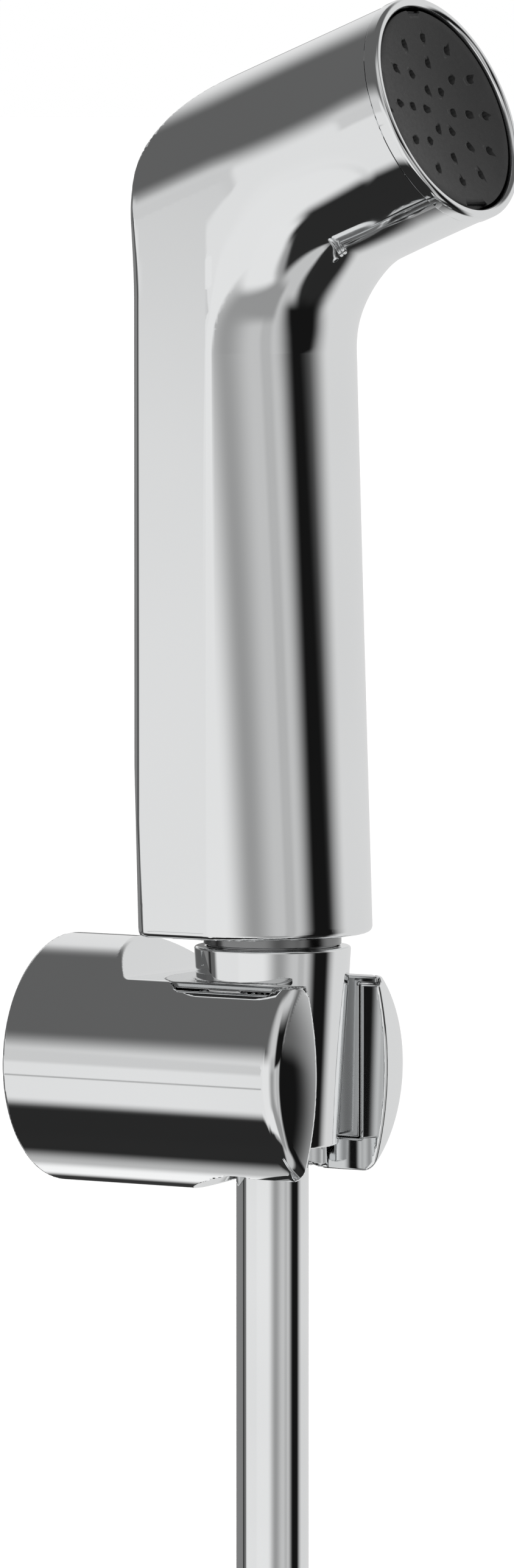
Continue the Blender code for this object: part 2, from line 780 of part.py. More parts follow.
# ---- hose, coil, tie and free end ---------------------------------------
route, lead = hose_route()
LEAD_STEP = 14.0
full = spline(route, 2.0)


def lead_end(points):
    """Where the lead has gone round inside the coil and starts to join it."""
    for k, (x, y, z) in enumerate(points):
        if y < SEAT_Y - 0.29 and z < COIL_Z:
            return k
    return len(points)


lead_points = full[: lead_end(full)]

def hose_tube(name, points):
    """The hose along `points`, read at every LEAD_STEP."""
    curve = bpy.data.curves.new(name, "CURVE")
    curve.dimensions = "3D"
    curve.bevel_depth = HOSE_R * MM
    curve.bevel_resolution = 3
    curve.use_fill_caps = True
    count = max(3, int(len(points) * 2.0 / LEAD_STEP) + 1)
    picks = [round(k) for k in np.linspace(0, len(points) - 1, count)]
    line = curve.splines.new("POLY")
    line.points.add(len(picks) - 1)
    for point, k in zip(line.points, picks):
        point.co = (*(Vector(points[k]) * MM), 1)
    obj = bpy.data.objects.new(name, curve)
    curve.materials.append(steel)
    bpy.context.scene.collection.objects.link(obj)
    return obj


hose = hose_tube("hose", lead_points)

COIL_BACK, COIL_FRONT = -45.15, -77.9
half, corner = HOSE_R, 5.4
section = [(COIL_R - half, -COIL_FRONT - corner), (COIL_R - half, -COIL_BACK + corner)]
section += [(COIL_R - half + 1.6, -COIL_BACK + 1.4), (COIL_R, -COIL_BACK), (COIL_R + half - 1.6, -COIL_BACK + 1.4)]
section += [(COIL_R + half, -COIL_BACK + corner), (COIL_R + half, -COIL_FRONT - corner)]
section += [(COIL_R + half - 1.6, -COIL_FRONT - 1.4), (COIL_R, -COIL_FRONT), (COIL_R - half + 1.6, -COIL_FRONT - 1.4)]
coil_ring = add(
    "hose_coil", *turned(section, (COIL_X, 0, COIL_Z), FRONT, 40), steel, at=(COIL_X, -61.5, COIL_Z)
)

TIE_DEG = 62.0
ta = math.radians(TIE_DEG)
radial = Vector((math.cos(ta), 0, math.sin(ta)))
tangent = Vector((-math.sin(ta), 0, math.cos(ta)))
tie_centre = Vector((COIL_X, 0, COIL_Z)) + radial * COIL_R


def tie_loop(grow):
    out, hy = [], (COIL_BACK - COIL_FRONT) / 2 + grow
    hr = HOSE_R + grow
    mid = (COIL_BACK + COIL_FRONT) / 2
    rr = 3.0 + grow
    for cr, cy, a0 in ((1, 1, 0), (-1, 1, 90), (-1, -1, 180), (1, -1, 270)):
        for k in range(4):
            w = math.radians(a0 + 90 * k / 3)
            out.append((cr * (hr - rr) + rr * math.cos(w), mid + cy * (hy - rr) + rr * math.sin(w)))
    return out


inner, outer = tie_loop(0.35), tie_loop(1.45)
n = len(inner)
tie_verts = []
for along in (-2.4, 2.4):
    for loop in (outer, inner):
        for r, y in loop:
            tie_verts.append(tie_centre + radial * r + tangent * along + Vector((0, y, 0)))
tie_faces = []
for k in range(n):
    m = (k + 1) % n
    o0, i0, o1, i1 = 0, n, 2 * n, 3 * n
    tie_faces += [
        [o0 + k, o0 + m, o1 + m, o1 + k],
        [i0 + m, i0 + k, i1 + k, i1 + m],
        [o0 + m, o0 + k, i0 + k, i0 + m],
        [o1 + k, o1 + m, i1 + m, i1 + k],
    ]
tie = add("coil_tie", tie_verts, tie_faces, tie_black, at=tie_centre + Vector((0, -61.5, 0)))

tail_points = [p for p in full[len(full) // 2 :] if p[1] < COIL_FRONT - HOSE_R - 0.3]
tail_points[-1] = tuple(Vector(tail_points[-1]) - (Vector(full[-1]) - Vector(full[-2])).normalized() * 0.8)
end_at = Vector(full[-1])
end_dir = Vector((-math.sin(math.radians(COIL_END_DEG)), 0, math.cos(math.radians(COIL_END_DEG))))
hose_tail = hose_tube("hose_tail", tail_points)
lower = add(
    "hose_lower_ferrule",
    *turned([(6.2, -18.0), (7.5, -18.0), (7.5, 0.0), (9.9, 0.0), (9.9, 2.0), (3.6, 2.0), (3.6, -0.3), (6.2, -0.3)], end_at, end_dir, 24),
    brass,
    at=end_at,
)
end_frame = empty("end_nut_axis", end_at)
end_nut = add("end_nut", *turned(disc(11.6, -3.6, 12.0), end_at, end_dir, 32), chrome, at=end_at, parent=end_frame)
hexagon = add("end_nut_hexagon", *turned(disc(12.0 / math.cos(math.pi / 6), -3.2, 8.0), end_at, end_dir, 6), None, cutter=True)
end_bore = add(
    "end_nut_bore",
    *turned([(0, -6), (7.8, -6), (7.8, -0.4), (10.4, -0.4), (10.4, 14), (0, 14)], end_at, end_dir, 32),
    None,
    cutter=True,
)
cut(end_nut, hexagon, "UNION")
cut(end_nut, end_bore)
end_washer = add("end_washer", *turned(tube(4.6, 10.0, 2.3, 4.1), end_at, end_dir, 24), rubber, at=end_at)
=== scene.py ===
"""Looks of the bidet hand shower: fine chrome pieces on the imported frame, a pale
floor, a soft studio round it and the camera.

Shapes are worked out in millimetres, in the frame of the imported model, and are
turned into metres as each mesh is made.
"""

import math

import bmesh
import bpy
import numpy as np
from mathutils import Matrix, Vector


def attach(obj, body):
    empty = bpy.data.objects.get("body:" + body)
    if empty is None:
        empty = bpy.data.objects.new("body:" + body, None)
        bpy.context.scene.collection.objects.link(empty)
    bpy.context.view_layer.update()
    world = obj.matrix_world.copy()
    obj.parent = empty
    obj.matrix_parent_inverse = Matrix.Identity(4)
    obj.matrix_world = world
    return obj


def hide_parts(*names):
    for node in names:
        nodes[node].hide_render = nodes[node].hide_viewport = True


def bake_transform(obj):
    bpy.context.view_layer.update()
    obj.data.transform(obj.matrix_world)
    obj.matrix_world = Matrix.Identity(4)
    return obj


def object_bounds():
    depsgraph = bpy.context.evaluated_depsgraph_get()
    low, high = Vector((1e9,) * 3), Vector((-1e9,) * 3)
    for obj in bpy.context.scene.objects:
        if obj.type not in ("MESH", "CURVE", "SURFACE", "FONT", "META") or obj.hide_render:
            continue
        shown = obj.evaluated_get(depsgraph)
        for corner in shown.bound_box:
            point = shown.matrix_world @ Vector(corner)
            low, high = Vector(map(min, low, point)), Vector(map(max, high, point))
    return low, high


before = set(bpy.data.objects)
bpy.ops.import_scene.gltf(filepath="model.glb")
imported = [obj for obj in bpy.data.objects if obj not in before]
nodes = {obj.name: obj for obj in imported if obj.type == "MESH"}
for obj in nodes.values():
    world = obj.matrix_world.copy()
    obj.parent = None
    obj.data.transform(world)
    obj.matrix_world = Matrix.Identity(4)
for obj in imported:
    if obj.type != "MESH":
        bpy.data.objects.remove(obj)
cad_low, cad_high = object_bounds()
MM = 0.001
scene = bpy.context.scene

# ---- dimensions that the frame is built from --------------------------------
HOLDER_R = 20.0
HOLDER_EDGE = 1.8
DOME_R = 58.0
DOME_POLE = 54.75
SEAT_Y = -38.7
SLOT_HALF = 10.3
RELIEF_Z = 14.4
RELIEF_Y = -19.15
RELIEF_SLOPE = 0.97
FLANGE_POCKET_R = 17.2
FLANGE_POCKET_Z = 13.1
BARREL_POCKET_R = 14.5
LEDGE_Z = -11.7
LIP_BORE_R = 10.9
COUNTERSINK_Z = -17.8
BACK_POCKET_R = 17.2
BACK_POCKET_D = 12.0
GRUB_Y = -7.0

CONE_TOP_Z, CONE_BOT_Z = 19.6, -12.2
CONE_BOT_R = 10.55
CONE_RATE = 0.0627

HALF_W = 19.7
BACK_Y = -23.96
BACK_CORNER = 2.5
BOTTOM_Z = 21.6
CREASE_F = 0.5
FRONT_F, FRONT_RATE, FRONT_Z0 = 15.1, 0.0375, 23.0
TILT = math.radians(21.34)
FACE_F, FACE_Z = 31.05, 152.56
TUBE_R = 18.5
SHOULDER_R = 17.9
SHELL_END = -0.6
BEND_R = 15.0              # concave bend under the head
BEND_FROM, BEND_TO = 0.12, 0.75    # where along the bend the section changes
NECK_HALF_W, NECK_POWER, NECK_RUN = 19.7, 2.5, 34.0

HOSE_R = 5.8
HOSE_TOP_Z = 3.7
COIL_R = 69.6
LEAD_R = 49.0
COIL_X = 2 * LEAD_R - COIL_R
COIL_Z = -162.0
TURN_PITCH = 11.9
COIL_END_DEG = 690.0
COIL_END_Y = -92.0
END_STRAIGHT = 22.0
COIL_BACK, COIL_FRONT = -45.15, -77.9
TIE_DEG = 62.0

BUTTON_Z, BUTTON_R = 101.0, 7.6

AX = Vector((0.0, -math.cos(TILT), math.sin(TILT)))
UP = Vector((0.0, math.sin(TILT), math.cos(TILT)))
FACE = Vector((0.0, SEAT_Y - FACE_F, FACE_Z))
SEAT = Vector((0.0, SEAT_Y, 0.0))
Z = (0, 0, 1)
Y = (0, 1, 0)
FRONT = (0, -1, 0)


# ---- studio: soft panels round the object, degrees from the camera ----------
ROOM = 94
STUDIO = [
    ("floor", 39, [("top", -35.8, -0.009, 6.1)]),
    ("backgrey", 182, [("right", -139.1, -0.005, 28.1), ("top", -29.5, -0.003, 12), ("bottom", -76.2, -0.009, 14.7)]),
    ("backwhite_low", 242, [("right", -157.8, 0.001, 12.2), ("top", -24, 0, 5), ("bottom", -56.8, 0.002, 13.6)]),
    ("backdark_low", 49, [("right", -160, 0, 10), ("top", -13, 0, 4), ("bottom", -32.4, -0.001, 11.2)]),
    ("backwhite_up", 220, [("right", -151.7, 0.002, 41.9), ("bottom", 2.2, -0.012, 6.3), ("top", 44.6, 0.002, 15.1)]),
    ("upperlight", 196, [("left", -19.4, 0.001, 44.7), ("right", 68.1, -0.001, 28.5), ("bottom", 7.2, 0.003, 16.8), ("top", 64.9, 0.002, 17.2)]),
    ("strip", 191, [("left", -7.4, -0.002, 11.7), ("right", 71, 0.006, 14.7), ("top", 7.9, -0.001, 12.2), ("bottom", -85.1, 0.002, 10.1)]),
    ("lens", 40, [("left", -123.1, 0, 10.2), ("right", 31.2, 0.004, 16.9), ("top", -54, -0.005, 5.9)]),
    ("dip", 178, [("left", 38.4, 0.007, 4.7), ("right", 47.6, -0.002, 4.9), ("top", 6, 0, 6), ("bottom", -43.7, -0.002, 8)]),
    ("gap", 151, [("left", -13.5, 0, 10.1), ("right", 21.1, -0.013, 22.1), ("top", 3.1, -0.021, 10.2), ("bottom", -52.7, 0, 8.2)]),
    ("gap2", 147, [("left", -4, 0, 12), ("right", 48.4, 0, 8), ("top", -15, -0.3, 13), ("bottom", -54, 0, 8)]),
    ("leftbox_a", 222, [("left", -94.1, 0.003, 8.2), ("right", -48.2, 0.05, 6.4), ("bottom", -84.4, -0.708, 11), ("top", 17.1, 0.062, 19.9)]),
    ("leftbox_b", 226, [("left", -52.9, -0.033, 5.7), ("right", -3.4, -0.025, 25.7), ("bottom", -47.9, -0.036, 11), ("top", 12.2, 0, 15.1)]),
    ("sideshade", 201, [("left", -100, 0, 5), ("right", -62.45, -0.45, 1.6), ("bottom", -1.6, 0, 3.6), ("top", 10, 0, 9)]),
    ("patch", 227, [("left", -30, 0, 14), ("right", -28, -1.1, 13), ("bottom", -50.5, 0, 6), ("top", -28.5, 0, 10)]),
    ("black", 20, [("left", 59.3, 0.04, 18.2), ("right", 89.3, -0.362, 10.8), ("top", 34.6, -0.407, 6.9), ("bottom", -45.6, 0, 14)]),
    ("blacklow", 38, [("left", 81.7, -0.101, 12.7), ("right", 205.2, -0.001, 10), ("top", -43.9, 0, 14)]),
    ("upperblack", 19, [("left", 23, 0.004, 13.5), ("right", 69.1, 0, 10.9), ("top", 47.9, -0.338, 26.7), ("bottom", 3.5, -0.02, 3.4)]),
    ("rightbox", 211, [("left", 94.3, -0.247, 23.9), ("bottom", 4.7, -0.407, 19.1), ("top", 44.2, 0.006, 20.6)]),
    ("edge_dark", 40, [("left", -117.4, 0, 3.1), ("right", -105.4, -0.006, 0.3), ("bottom", -14, 0, 4), ("top", 2.8, 0.008, 4.1)]),
    ("edge_grey", 123, [("right", -110.8, 0.006, 5), ("bottom", -12, 0, 4), ("top", 3.3, -0.022, 4.2)]),
    ("seam", 172, [("left", -78, 0, 4), ("right", -61.5, 0, 3), ("bottom", -12.7, 0, 0.6), ("top", -11.5, 0, 0.6)]),
]

# ---- camera -----------------------------------------------------------------
CAM_AZ, CAM_EL = -1.002357, 0.067596
CAM_DIST, CAM_SCALE = 1757.256, 10.182      # mm, and image pixels per mm at the aim
AIM_RIGHT, AIM_UP = 30.13, 43.966
IMAGE_W, IMAGE_H = 844, 2576

right = Vector((math.cos(CAM_AZ), math.sin(CAM_AZ), 0))
back = Vector(
    (
        math.sin(CAM_AZ) * math.cos(CAM_EL),
        -math.cos(CAM_AZ) * math.cos(CAM_EL),
        math.sin(CAM_EL),
    )
)
over = back.cross(right)
cam_data = bpy.data.cameras.new("camera")
cam = bpy.data.objects.new("camera", cam_data)
scene.collection.objects.link(cam)
turn = Matrix((right, over, back)).transposed().to_4x4()
turn.translation = (right * AIM_RIGHT + Vector((0, 0, AIM_UP)) + back * CAM_DIST) * MM
cam.matrix_world = turn
cam_data.sensor_fit = "VERTICAL"
cam_data.sensor_width = 36.0
cam_data.sensor_height = 36.0
cam_data.lens = 36.0 * CAM_SCALE * CAM_DIST / IMAGE_H
cam_data.clip_start, cam_data.clip_end = 0.05, 200.0
scene.camera = cam


# ---- mesh helpers -----------------------------------------------------------
def make(name, verts, faces, mat, body, stands_for=(), normals=None, sharp=35.0, weighted=True):
    """A piece from points in millimetres. With normals, one for each vertex, it
    is shaded by them, and otherwise by its faces, split at sharp edges."""
    mesh = bpy.data.meshes.new(name)
    if isinstance(verts, np.ndarray):
        pts, quads = (verts * MM).astype(np.float32), faces.astype(np.int32)
        mesh.vertices.add(len(pts))
        mesh.vertices.foreach_set("co", pts.ravel())
        mesh.loops.add(quads.size)
        mesh.loops.foreach_set("vertex_index", quads.ravel())
        mesh.polygons.add(len(quads))
        mesh.polygons.foreach_set("loop_start", np.arange(len(quads), dtype=np.int32) * 4)
        mesh.update(calc_edges=True)
        mesh.validate()
    else:
        mesh.from_pydata([tuple(Vector(v) * MM) for v in verts], [], faces)
        mesh.validate()
        bm = bmesh.new()
        bm.from_mesh(mesh)
        bmesh.ops.recalc_face_normals(bm, faces=bm.faces)
        bm.to_mesh(mesh)
        bm.free()
    obj = bpy.data.objects.new(name, mesh)
    scene.collection.objects.link(obj)
    mesh.shade_smooth()
    if normals is not None:
        mesh.normals_split_custom_set_from_vertices([tuple(n) for n in normals])
    else:
        mesh.set_sharp_from_angle(angle=math.radians(sharp))
        if weighted:
            even = obj.modifiers.new("even_normals", "WEIGHTED_NORMAL")
            even.keep_sharp = True
            even.weight = 60
    if mat is not None:
        mesh.materials.append(mat)
    if body:
        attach(obj, body)
    if stands_for:
        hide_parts(*stands_for)
    return obj


def cutter(name, verts, faces):
    mesh = bpy.data.meshes.new(name)
    mesh.from_pydata([tuple(Vector(v) * MM) for v in verts], [], faces)
    bm = bmesh.new()
    bm.from_mesh(mesh)
    bmesh.ops.recalc_face_normals(bm, faces=bm.faces)
    bm.to_mesh(mesh)
    bm.free()
    obj = bpy.data.objects.new(name, mesh)
    scene.collection.objects.link(obj)
    return obj


def carve(obj, shapes, operation="DIFFERENCE"):
    """Cuts the shapes out of the object for good, and removes them."""
    for shape in shapes:
        mod = obj.modifiers.new("carve", "BOOLEAN")
        mod.operation = operation
        mod.solver = "EXACT"
        mod.object = shape
    bpy.context.view_layer.update()
    graph = bpy.context.evaluated_depsgraph_get()
    mesh = bpy.data.meshes.new_from_object(obj.evaluated_get(graph))
    obj.modifiers.clear()
    old, obj.data = obj.data, mesh
    bpy.data.meshes.remove(old)
    mesh.name = obj.name
    for shape in shapes:
        data = shape.data
        bpy.data.objects.remove(shape, do_unlink=True)
        bpy.data.meshes.remove(data)
    return obj


def axes_for(axis):
    a = Vector(axis).normalized()
    side = Vector((1, 0, 0)) if abs(a.x) < 0.9 else Vector((0, 0, 1))
    u = side.cross(a).normalized()
    return u, a.cross(u).normalized(), a


def turned(profile, origin, axis, n=48):
    """A closed profile [(radius, along axis), ...] turned round `axis`."""
    u, v, a = axes_for(axis)
    o = Vector(origin)
    verts, ring = [], []
    for r, s in profile:
        if r < 1e-9:
            ring.append([len(verts)] * n)
            verts.append(o + a * s)
            continue
        ring.append(list(range(len(verts), len(verts) + n)))
        for k in range(n):
            t = 2 * math.pi * k / n
            verts.append(o + a * s + u * (r * math.cos(t)) + v * (r * math.sin(t)))
    faces = []
    for i in range(len(profile)):
        p, q = ring[i], ring[(i + 1) % len(profile)]
        if profile[i][0] < 1e-9 and profile[(i + 1) % len(profile)][0] < 1e-9:
            continue
        for k in range(n):
            m = (k + 1) % n
            face = []
            for idx in (p[k], p[m], q[m], q[k]):
                if idx not in face:
                    face.append(idx)
            faces.append(face)
    return verts, faces


def disc(r, s0, s1):
    return [(0, s0), (r, s0), (r, s1), (0, s1)]


def tube(r_in, r_out, s0, s1):
    return [(r_in, s0), (r_out, s0), (r_out, s1), (r_in, s1)]


def eased(profile, radii, steps=4):
    """The closed profile with its corners rounded, by one radius or one each."""
    if not hasattr(radii, "__len__"):
        radii = [0 if r < 1e-9 else radii for r, _ in profile]
    out, n = [], len(profile)
    for k, (p, rad) in enumerate(zip(profile, radii)):
        a, b, c = (np.array(profile[j % n], float) for j in (k - 1, k, k + 1))
        la, lc = np.linalg.norm(a - b), np.linalg.norm(c - b)
        if rad <= 0 or la < 1e-6 or lc < 1e-6:
            out.append(tuple(p))
            continue
        ua, uc = (a - b) / la, (c - b) / lc
        half = math.acos(float(np.clip(ua @ uc, -1, 1))) / 2
        if half > math.radians(86):
            out.append(tuple(p))
            continue
        cut = min(rad / math.tan(half), 0.45 * la, 0.45 * lc)
        rad = cut * math.tan(half)
        centre = b + (ua + uc) / np.linalg.norm(ua + uc) * (rad / math.sin(half))
        start, end = b + ua * cut, b + uc * cut
        s, e = start - centre, end - centre
        w = math.acos(float(np.clip(s @ e / rad**2, -1, 1)))
        for j in range(steps + 1):
            t = j / steps
            q = (math.sin((1 - t) * w) * s + math.sin(t * w) * e) / max(math.sin(w), 1e-9)
            out.append(tuple(centre + q))
    return out


def arc(cx, cy, r, a0, a1, n):
    return [
        (
            cx + r * math.cos(math.radians(a0 + (a1 - a0) * k / n)),
            cy + r * math.sin(math.radians(a0 + (a1 - a0) * k / n)),
        )
        for k in range(n + 1)
    ]


def prism(outline, x0, x1):
    n = len(outline)
    verts = [(x0, y, z) for y, z in outline] + [(x1, y, z) for y, z in outline]
    faces = [list(range(n))[::-1], list(range(n, 2 * n))]
    faces += [[k, (k + 1) % n, n + (k + 1) % n, n + k] for k in range(n)]
    return verts, faces


def box(x0, x1, y0, y1, z0, z1):
    return prism([(y0, z0), (y1, z0), (y1, z1), (y0, z1)], x0, x1)


def placed_box(at, x, y, z, half):
    """A box with its middle at `at` and its half sizes along the three directions."""
    verts = [
        Vector(at) + Vector(x) * (i * half[0]) + Vector(y) * (j * half[1]) + Vector(z) * (k * half[2])
        for i in (-1, 1) for j in (-1, 1) for k in (-1, 1)
    ]
    return verts, [[0, 1, 3, 2], [4, 6, 7, 5], [0, 4, 5, 1], [2, 3, 7, 6], [0, 2, 6, 4], [1, 5, 7, 3]]


def rounded_max(a, b, r):
    return (
        np.minimum(np.maximum(a, b), -r)
        + np.hypot(np.maximum(a + r, 0), np.maximum(b + r, 0))
    )


def rounded_min(a, b, r):
    return -rounded_max(-a, -b, r)


def smooth_step(t):
    t = np.clip(t, 0, 1)
    return t * t * (3 - 2 * t)


def slope_of(field, pts, h=0.01):
    return np.stack(
        [(field(*(pts + e).T) - field(*(pts - e).T)) / (2 * h) for e in np.eye(3) * h], axis=1
    )


def surface_net(field, low, high, step):
    """Points, faces and normals of the zero surface of `field`."""
    low, high = np.array(low, float), np.array(high, float)
    size = np.ceil((high - low) / step).astype(int) + 1
    grids = [low[i] + step * np.arange(size[i]) for i in range(3)]
    gx, gy, gz = np.meshgrid(*grids, indexing="ij")
    val = field(gx, gy, gz)
    inside = val < 0
    total = np.zeros((*(size - 1), 3))
    count = np.zeros(size - 1)
    crossings = []
    for d in range(3):
        lo = [slice(None)] * 3
        hi = [slice(None)] * 3
        lo[d], hi[d] = slice(0, -1), slice(1, None)
        a, b = val[tuple(lo)], val[tuple(hi)]
        hit = inside[tuple(lo)] != inside[tuple(hi)]
        idx = np.argwhere(hit)
        va, vb = a[hit], b[hit]
        pos = idx.astype(float)
        pos[:, d] += va / (va - vb)
        crossings.append((d, idx, va < 0))
        e, g = [k for k in range(3) if k != d]
        for i in (0, 1):
            for j in (0, 1):
                cell = idx.copy()
                cell[:, e] -= i
                cell[:, g] -= j
                np.add.at(total, tuple(cell.T), pos)
                np.add.at(count, tuple(cell.T), 1)
    used = count > 0
    ids = -np.ones(count.shape, int)
    ids[used] = np.arange(used.sum())
    verts = total[used] / count[used][:, None] * step + low
    quads = []
    for d, idx, out in crossings:
        e, g = (d + 1) % 3, (d + 2) % 3
        ring = []
        for i, j in ((1, 1), (0, 1), (0, 0), (1, 0)):
            cell = idx.copy()
            cell[:, e] -= i
            cell[:, g] -= j
            ring.append(ids[tuple(cell.T)])
        quad = np.stack(ring, axis=1)
        quad[~out] = quad[~out][:, ::-1]
        quads.append(quad)
    quads = np.concatenate(quads)
    for _ in range(4):
        v = field(*verts.T)
        grad = slope_of(field, verts)
        move = v[:, None] * grad / np.maximum((grad**2).sum(1), 0.05)[:, None]
        verts = verts - np.clip(move, -0.4 * step, 0.4 * step)
    normals = slope_of(field, verts)
    normals /= np.maximum(np.linalg.norm(normals, axis=1), 1e-9)[:, None]
    return verts, quads, normals


# ---- materials --------------------------------------------------------------
class Nodes:
    """Short names for building a node tree."""

    def __init__(self, tree):
        self.tree = tree

    def new(self, kind, **values):
        node = self.tree.nodes.new(kind)
        for key, value in values.items():
            setattr(node, key, value)
        return node

    def link(self, a, b):
        self.tree.links.new(a, b)

    def put(self, socket, value):
        if isinstance(value, bpy.types.NodeSocket):
            self.link(value, socket)
        else:
            socket.default_value = value

    def math(self, op, a, b=None, c=None, clamp=False):
        node = self.new("ShaderNodeMath", operation=op, use_clamp=clamp)
        for k, value in enumerate((a, b, c)):
            if value is not None:
                self.put(node.inputs[k], value)
        return node.outputs[0]

    def span(self, value, a, b, lo=0.0, hi=1.0, smooth=True):
        node = self.new("ShaderNodeMapRange")
        node.interpolation_type = "SMOOTHSTEP" if smooth else "LINEAR"
        node.clamp = True
        self.put(node.inputs["Value"], value)
        for key, v in (("From Min", a), ("From Max", b), ("To Min", lo), ("To Max", hi)):
            node.inputs[key].default_value = v
        return node.outputs[0]

    def mix(self, share, a, b):
        node = self.new("ShaderNodeMix", data_type="RGBA")
        self.put(node.inputs["Factor"], share)
        for key, value in (("A", a), ("B", b)):
            socket = [s for s in node.inputs if s.name == key and s.type == "RGBA"][0]
            self.put(socket, value)
        return [s for s in node.outputs if s.type == "RGBA"][0]

    def noise(self, scale, detail=3.0, rough=0.5, stretch=None, turn=None):
        where = self.new("ShaderNodeTexCoord").outputs["Object"]
        if stretch or turn:
            mapping = self.new("ShaderNodeMapping")
            self.link(where, mapping.inputs["Vector"])
            if stretch:
                mapping.inputs["Scale"].default_value = stretch
            if turn:
                mapping.inputs["Rotation"].default_value = turn
            where = mapping.outputs["Vector"]
        node = self.new("ShaderNodeTexNoise")
        self.link(where, node.inputs["Vector"])
        node.inputs["Scale"].default_value = scale
        node.inputs["Detail"].default_value = detail
        node.inputs["Roughness"].default_value = rough
        return node.outputs["Fac"]

    def bump(self, height, strength, distance):
        node = self.new("ShaderNodeBump")
        node.inputs["Strength"].default_value = strength
        node.inputs["Distance"].default_value = distance
        self.link(height, node.inputs["Height"])
        return node.outputs["Normal"]


def new_material(name):
    mat = bpy.data.materials.new(name)
    mat.use_nodes = True
    shader = mat.node_tree.nodes["Principled BSDF"]
    return mat, Nodes(mat.node_tree), shader


def rgb(v, tint=(1.0, 1.0, 1.0)):
    return (v * tint[0], v * tint[1], v * tint[2], 1.0)


def plated(name, low, high, rough=(0.025, 0.05), tint=(0.985, 0.995, 1.0), grain=0.0, cloud=18.0,
           stretch=None, turn=None):
    """Bright plated metal: a faint cloudiness in tone and polish, and, with
    `grain`, the fine surface of the metal under the plating."""
    mat, n, shader = new_material(name)
    shader.inputs["Metallic"].default_value = 1.0
    cloudy = n.noise(cloud, 2.0, 0.45, stretch, turn)
    fine = n.noise(620.0, 3.0, 0.6, stretch, turn)
    n.link(n.mix(n.span(cloudy, 0.3, 0.7), rgb(low, tint), rgb(high, tint)), shader.inputs["Base Color"])
    mixed = n.math("ADD", n.math("MULTIPLY", cloudy, 0.6), n.math("MULTIPLY", fine, 0.4))
    n.link(n.span(mixed, 0.32, 0.68, rough[0], rough[1]), shader.inputs["Roughness"])
    if grain:
        n.link(n.bump(fine, grain, 0.0002), shader.inputs["Normal"])
    return mat


def moulded(name, low, high, rough, grain=0.15, scale=900.0, tint=(1.0, 1.0, 1.0), specular=0.5):
    """Moulded plastic or rubber with a fine tool grain."""
    mat, n, shader = new_material(name)
    shader.inputs["Specular IOR Level"].default_value = specular
    cloudy = n.noise(60.0, 3.0)
    fine = n.noise(scale, 4.0, 0.65)
    n.link(n.mix(n.span(cloudy, 0.3, 0.7), rgb(low, tint), rgb(high, tint)), shader.inputs["Base Color"])
    n.link(n.span(fine, 0.3, 0.7, rough[0], rough[1]), shader.inputs["Roughness"])
    n.link(n.bump(fine, grain, 0.0001), shader.inputs["Normal"])
    return mat


chrome = plated("chrome_plate", 0.90, 0.93)
# painted shade: the seat down in the holder gets a darker copy of the plating, with a rougher polish as well
seat_plate_painted_shade = plated("seat_chrome_painted_shade", 0.60, 0.68, rough=(0.06, 0.12), grain=0.01)
# painted shade: the inlet collar, deep in the gap under the handset, gets a dark copy of the plating
inlet_plate_painted_shade = plated("inlet_chrome_painted_shade", 0.22, 0.30, rough=(0.12, 0.2), grain=0.02)
nut_chrome = plated("chrome_nut", 0.90, 0.93, rough=(0.02, 0.045), stretch=(1, 1, 0.15))
hose_skin = plated("hose_skin", 0.90, 0.93, rough=(0.035, 0.06), cloud=40.0)
black = moulded("face_plastic", 0.013, 0.018, (0.26, 0.36), grain=0.02, scale=1500.0, specular=0.22)
grey = moulded("water_plastic", 0.30, 0.36, (0.42, 0.58), tint=(0.98, 1.0, 1.02))
rubber = moulded("rubber", 0.012, 0.022, (0.6, 0.8), grain=0.3)
tie_skin = moulded("tie_plastic", 0.02, 0.035, (0.4, 0.6), grain=0.25, scale=500.0)
brass = plated("brass", 0.80, 0.92, rough=(0.16, 0.32), tint=(0.86, 0.66, 0.36), grain=0.08, cloud=90.0)
steel = plated("steel_wire", 0.55, 0.66, rough=(0.14, 0.26), grain=0.05, cloud=120.0)

for name, mat in {
    "wall_bracket": brass, "grub_screw": steel, "face_gasket": rubber, "spray_chamber": grey,
    "inlet_o_ring": rubber, "lower_water_tube": grey, "upper_water_tube": grey, "valve_body": grey,
    "valve_cap": grey, "button_stem": steel, "valve_poppet": rubber, "return_spring": steel,
    "inlet_washer": rubber, "hose_upper_ferrule": brass, "coil_tie": tie_skin,
    "hose_lower_ferrule": chrome, "end_washer": rubber, "end_nut": chrome, "hose_coil": hose_skin,
    "hose_tail": hose_skin, "hose": hose_skin, "handset_shell": chrome, "holder_body": chrome,
    "holder_liner": seat_plate_painted_shade, "rim_ring": chrome, "spray_face": black,
    "inlet_connector": inlet_plate_painted_shade, "push_button": chrome, "conical_nut": nut_chrome,
}.items():
    mesh = nodes[name].data
    if not mesh.materials:
        mesh.materials.append(mat)
    for k in range(len(mesh.materials)):
        mesh.materials[k] = mat


# ---- hose -------------------------------------------------------------------
def coil_y(deg):
    y = -50.9 - TURN_PITCH * (deg - 60.0) / 360.0
    enter = smooth_step((deg + 60.0) / 120.0)
    y = (SEAT_Y - 0.2) * (1 - enter) + y * enter
    leave = smooth_step((deg - COIL_END_DEG + 85.0) / 85.0)
    return float(y * (1 - leave) + COIL_END_Y * leave)


